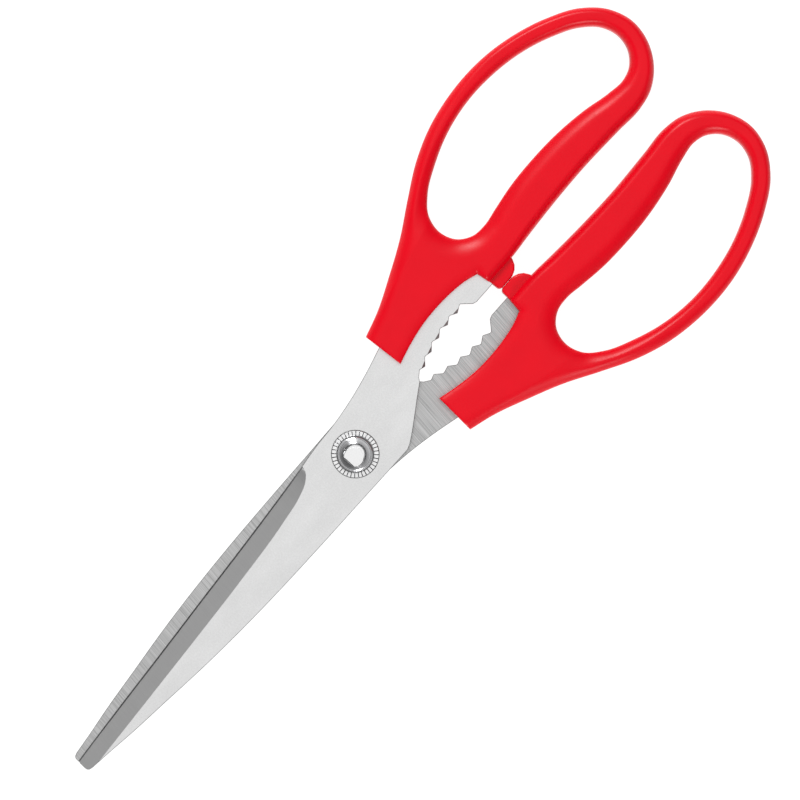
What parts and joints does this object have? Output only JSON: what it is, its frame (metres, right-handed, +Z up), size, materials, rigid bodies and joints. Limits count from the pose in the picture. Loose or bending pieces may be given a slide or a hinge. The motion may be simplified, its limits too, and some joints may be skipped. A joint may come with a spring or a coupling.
{
  "type": "poultry shears",
  "caption": "Hand shears with two long straight bevelled blades, a toothed jaw behind the bolted pivot, and a moulded plastic finger loop on each blade.",
  "frame": {"origin": "middle of the flat underside of the pivot bolt's head, where the pivot axis meets the bench that the shears lie on", "axes": "+Z up along the pivot axis, from the bolt's head to the nut; +Y from the pivot towards the handles, along the closed blades; +X towards the rear blade's handle"},
  "size_m": [0.0978, 0.2672, 0.0124],
  "materials": {
    "blade_steel": "fine satin stainless steel",
    "handle_plastic": "smooth moulded red, half gloss",
    "pivot_steel": "polished plating",
    "washer_steel": "plain spring steel"
  },
  "bodies": {
    "front_half": {"front_blade": "blade_steel", "front_handle": "handle_plastic", "pivot_bolt": "pivot_steel", "pivot_nut": "pivot_steel", "serrated_washer": "pivot_steel", "spring_washer": "washer_steel", "thrust_washer": "washer_steel"},
    "rear_half": {"rear_blade": "blade_steel", "rear_handle": "handle_plastic"}
  },
  "joints": [
    {"name": "pivot", "type": "hinge", "parent": "front_half", "child": "rear_half", "pos_m": [0, 0, 0.0047], "axis": [0, 0, -1], "range_deg": [0, 125]}
  ]
}
